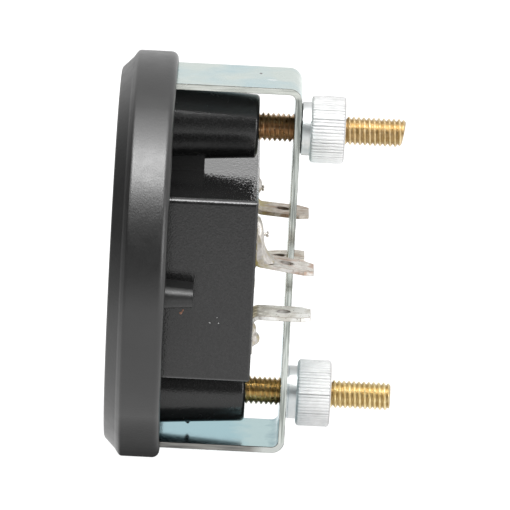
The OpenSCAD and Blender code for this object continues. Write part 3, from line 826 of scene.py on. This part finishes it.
def flake(y, z, size, seed):
    """An uneven thin crumb that lies on the side of the box which faces +X."""
    pick = random.Random(seed)
    sides = 9
    flat = []
    for k in range(sides):
        a, r = 2 * math.pi * k / sides, size * pick.uniform(0.6, 1.2)
        flat.append((r * math.sin(a), r * math.cos(a)))
    layers = ((-0.02, 1.0), (0.02, 1.0), (0.06, 0.6))
    rings = []
    for out, share in layers:
        rings.append([(BOX_HALF_W + out, y + share * u, z + share * v) for u, v in flat])
    return skin(rings)


def crumbs():
    """A broken rust-coloured crumb and three pale ones on the side of the box, each as (y, z, size)."""
    rusty = [(2.2, -3.1, 0.24), (2.45, -2.75, 0.16)]
    pale = [(6.2, -4.3, 0.11), (7.2, -3.55, 0.08), (7.4, -4.3, 0.08)]
    rust = mottled("crumb_rust", (0.22, 0.11, 0.07, 1), (0.3, 0.15, 0.1, 1), 0.3, (0.6, 0.8), 0.1, 0.01)
    dust_and_reflection = mottled("crumb_pale", grey(0.3), grey(0.5), 0.2, (0.6, 0.8), 0.1, 0.01)
    first_seed, next_seed = 1, 3
    shapes = [flake(*crumb, first_seed + i) for i, crumb in enumerate(rusty)]
    piece("crumb_rust", shapes, "meter", rust)
    shapes = [flake(*crumb, next_seed + i) for i, crumb in enumerate(pale)]
    piece("crumbs_pale", shapes, "meter", dust_and_reflection)


def flash_nub():
    """A nub of flash under the lower boss."""
    nub_y = 3.75
    taper = (BOSS_ROOT_R - BOSS_END_R) / housing_back_y
    under = -STUD_Z - BOSS_ROOT_R + taper * nub_y
    nub = tube([(0, nub_y, under + 0.1), (0, nub_y, under - 0.15), (0, nub_y + 0.05, under - 0.4)],
               [0.45, 0.36, 0.12])
    piece("flash_nub", [nub], "meter", HOUSING)


display_digits()
crumbs()
flash_nub()


# Finishes of the CAD nodes that stay

def finish_node(node, material):
    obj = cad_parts[node]
    obj.data.materials.clear()
    obj.data.materials.append(material)


def inner_finishes():
    """Finishes of the lens, the dial, the two boards and what lies between them."""
    dark = mottled("chip_black", grey(0.012), grey(0.02), 1.5, (0.4, 0.55), 0.15, 0.004)
    dial = mottled("dial_black", grey(0.006), grey(0.009), 4.0, (0.5, 0.6), 0.12, 0.004)
    display = mottled("display_grey", (0.27, 0.31, 0.23, 1), (0.3, 0.34, 0.25, 1),
                      8.0, (0.12, 0.2), 0.5, 0.001)
    white = mottled("holder_white", grey(0.72), grey(0.78), 4.0, (0.4, 0.5), 0.2, 0.004)
    rubber = mottled("elastomer", grey(0.09), grey(0.13), 0.4, (0.6, 0.8), 0.2, 0.01)
    green = mottled("board_green", (0.01, 0.06, 0.025, 1), (0.014, 0.08, 0.03, 1),
                    1.0, (0.25, 0.4), 0.3, 0.01)
    can = mottled("can_metal", grey(0.5), grey(0.6), 2.0, (0.25, 0.4), 0.2, 0.004, Metallic=1.0)
    sleeve = mottled("sleeve_blue", (0.006, 0.01, 0.05, 1), (0.008, 0.014, 0.07, 1),
                     2.0, (0.2, 0.3), 0.3, 0.004)
    pins = mottled("pin_brass", (0.6, 0.42, 0.16, 1), (0.7, 0.5, 0.22, 1),
                   1.0, (0.25, 0.4), 0.2, 0.004, Metallic=1.0)
    finishes = {
        "lens": clear_lens(), "dial_plate": dial, "display_glass": display, "display_holder": white,
        "contact_strip_upper": rubber, "contact_strip_lower": rubber, "main_board": green,
        "controller_chip": dark, "memory_chip": dark, "bridge_rectifier": dark, "link_header": dark,
        "quartz_crystal": can, "filter_capacitor": sleeve, "link_pins": pins, "terminal_board": laminate()}
    for node, material in finishes.items():
        finish_node(node, material)


inner_finishes()


# Stage, light and camera

def floor():
    """A floor that is white in the picture, and greyer well in front of the object and well to the camera's
    side, where its glow fades as painted shade. Its fades are in millimetres."""
    side, z = 3.0, cad_box[0].z
    full, faded = 1.0, 0.3
    mesh = bpy.data.meshes.new("floor")
    corners = [(-side, -side, z), (side, -side, z), (side, side, z), (-side, side, z)]
    mesh.from_pydata(corners, [], [(0, 1, 2, 3)])
    material, tree, shader = principled("floor_white", Base_Color=grey(0.12), Roughness=0.9)
    shader.inputs["Emission Color"].default_value = grey(1.0)
    x, y = along(tree, "X"), along(tree, "Y")
    # Painted shade: the floor's glow fades far in front of the object and far to the camera's side.
    to_camera = ramp(tree, x, 180, 290, full, faded)
    to_front = ramp(tree, y, -135, -85, faded, full)
    to_both = ramp(tree, maths(tree, "SUBTRACT", x, y), 165, 220, full, faded)
    glow = maths(tree, "MINIMUM", maths(tree, "MINIMUM", to_camera, to_front), to_both)
    set_input(tree, shader, "Emission Strength", glow)
    mesh.materials.append(material)
    obj = bpy.data.objects.new("floor", mesh)
    bpy.context.scene.collection.objects.link(obj)


def surroundings():
    """A white room that is dim in a band above the camera and dark on the object's front side."""
    bright, dim, dark = 1.0, 0.08, 0.13
    world = bpy.data.worlds.new("studio")
    world.use_nodes = True
    tree = world.node_tree
    background = tree.nodes["Background"]
    background.inputs["Color"].default_value = grey(1.0)
    coords = add(tree, "ShaderNodeTexCoord").outputs["Generated"]
    towards = add(tree, "ShaderNodeSeparateXYZ", {0: coords}).outputs
    over_floor = ramp(tree, towards["Z"], -0.02, 0.06)
    under_key = fall(tree, towards["Z"], 0.45, 0.7)
    camera_side = ramp(tree, towards["X"], 0.0, 0.35)
    band = product(tree, product(tree, over_floor, under_key), camera_side)
    front = fall(tree, towards["Y"], -0.85, -0.6)
    level = maths(tree, "MINIMUM", ramp(tree, band, 0.0, 1.0, bright, dim),
                  ramp(tree, front, 0.0, 1.0, bright, dark))
    tree.links.new(level, background.inputs["Strength"])
    bpy.context.scene.world = world


def softbox(name, elevation, azimuth, width, height, power):
    """An area light aimed at the object's middle, sized in metres. Azimuth 90 is the camera's side."""
    distance = 0.6
    light = bpy.data.lights.new(name, "AREA")
    light.shape = "RECTANGLE"
    light.size = width
    light.size_y = height
    light.energy = power
    e, a = math.radians(elevation), math.radians(azimuth)
    back = Vector((math.sin(a) * math.cos(e), -math.cos(a) * math.cos(e), math.sin(e)))
    obj = bpy.data.objects.new(name, light)
    obj.location = back * distance
    obj.rotation_euler = (-back).to_track_quat("-Z", "Y").to_euler()
    bpy.context.scene.collection.objects.link(obj)


def camera():
    """The photograph's view: near the side, a little from above, the picture turned a little. Its place is in
    millimetres."""
    azimuth, elevation, roll = (math.radians(v) for v in (89.654, 13.83, 2.956))
    distance, aside, above = 730.413, 12.053, -0.07
    pixels_per_mm, width, sensor, clip_end = 7.129, 510, 36.0, 20
    level = math.cos(elevation)
    right = Vector((math.cos(azimuth), math.sin(azimuth), 0))
    back = Vector((math.sin(azimuth) * level, -math.cos(azimuth) * level, math.sin(elevation)))
    up = back.cross(right)
    turned_right = math.cos(roll) * right + math.sin(roll) * up
    turned_up = math.cos(roll) * up - math.sin(roll) * right
    data = bpy.data.cameras.new("camera")
    data.sensor_width = sensor
    data.lens = pixels_per_mm * distance / width * sensor
    data.clip_end = clip_end
    obj = bpy.data.objects.new("camera", data)
    turn = Matrix((turned_right, turned_up, back)).transposed().to_4x4()
    middle = turned_right * aside + turned_up * above + back * distance
    obj.matrix_world = Matrix.Translation(middle * MM) @ turn
    bpy.context.scene.collection.objects.link(obj)
    bpy.context.scene.camera = obj


floor()
surroundings()
softbox("key", elevation=62, azimuth=90, width=0.26, height=0.24, power=2.8)
softbox("overhead", elevation=84, azimuth=90, width=0.6, height=0.24, power=1.3)
softbox("fill", elevation=15, azimuth=140, width=0.3, height=0.3, power=1.3)
softbox("strip", elevation=50, azimuth=40, width=0.08, height=0.4, power=0.8)
camera()
bpy.context.scene.view_settings.view_transform = "Standard"
